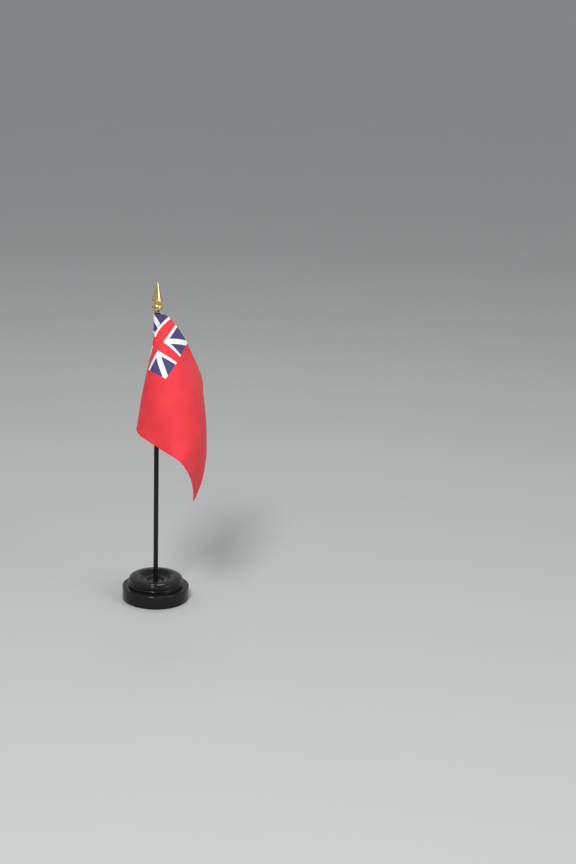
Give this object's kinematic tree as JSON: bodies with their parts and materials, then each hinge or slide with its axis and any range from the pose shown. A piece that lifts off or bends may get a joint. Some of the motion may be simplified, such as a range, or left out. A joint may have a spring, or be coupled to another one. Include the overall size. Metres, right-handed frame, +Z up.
{
  "type": "desk flag stand",
  "caption": "Small printed cloth flag hanging limp from a slim black staff with a gold spear finial, held upright in a round stepped black base.",
  "frame": {"origin": "middle of the base's underside, on the staff's axis", "axes": "+Z up along the staff, towards the finial; -Y the front, where the flag's printed face shows; +X the side that the flag's free end falls to"},
  "size_m": [0.0788, 0.1091, 0.3061],
  "materials": {
    "base_plastic": "gloss black moulded plastic",
    "staff_plastic": "satin black moulded rod",
    "gold_finial": "gold metallised plastic",
    "flag_cloth": "printed polyester, matte with a light sheen",
    "red_thread": "polyester sewing thread"
  },
  "bodies": {
    "base": {"base_body": "base_plastic"},
    "staff": {"staff": "staff_plastic", "spear_finial": "gold_finial"},
    "flag": {"flag_cloth": "flag_cloth", "sleeve_seam_thread": "red_thread", "top_hem_thread": "red_thread", "bottom_hem_thread": "red_thread", "fly_hem_thread": "red_thread"}
  },
  "joints": [
    {"name": "staff_lift", "type": "slide", "parent": "base", "child": "staff", "axis": [0, 0, 1], "range_m": [0, 0.025]},
    {"name": "flag_turn", "type": "hinge", "parent": "staff", "child": "flag", "pos_m": [0, 0, 0.2], "axis": [0, 0, 1], "continuous": true}
  ]
}
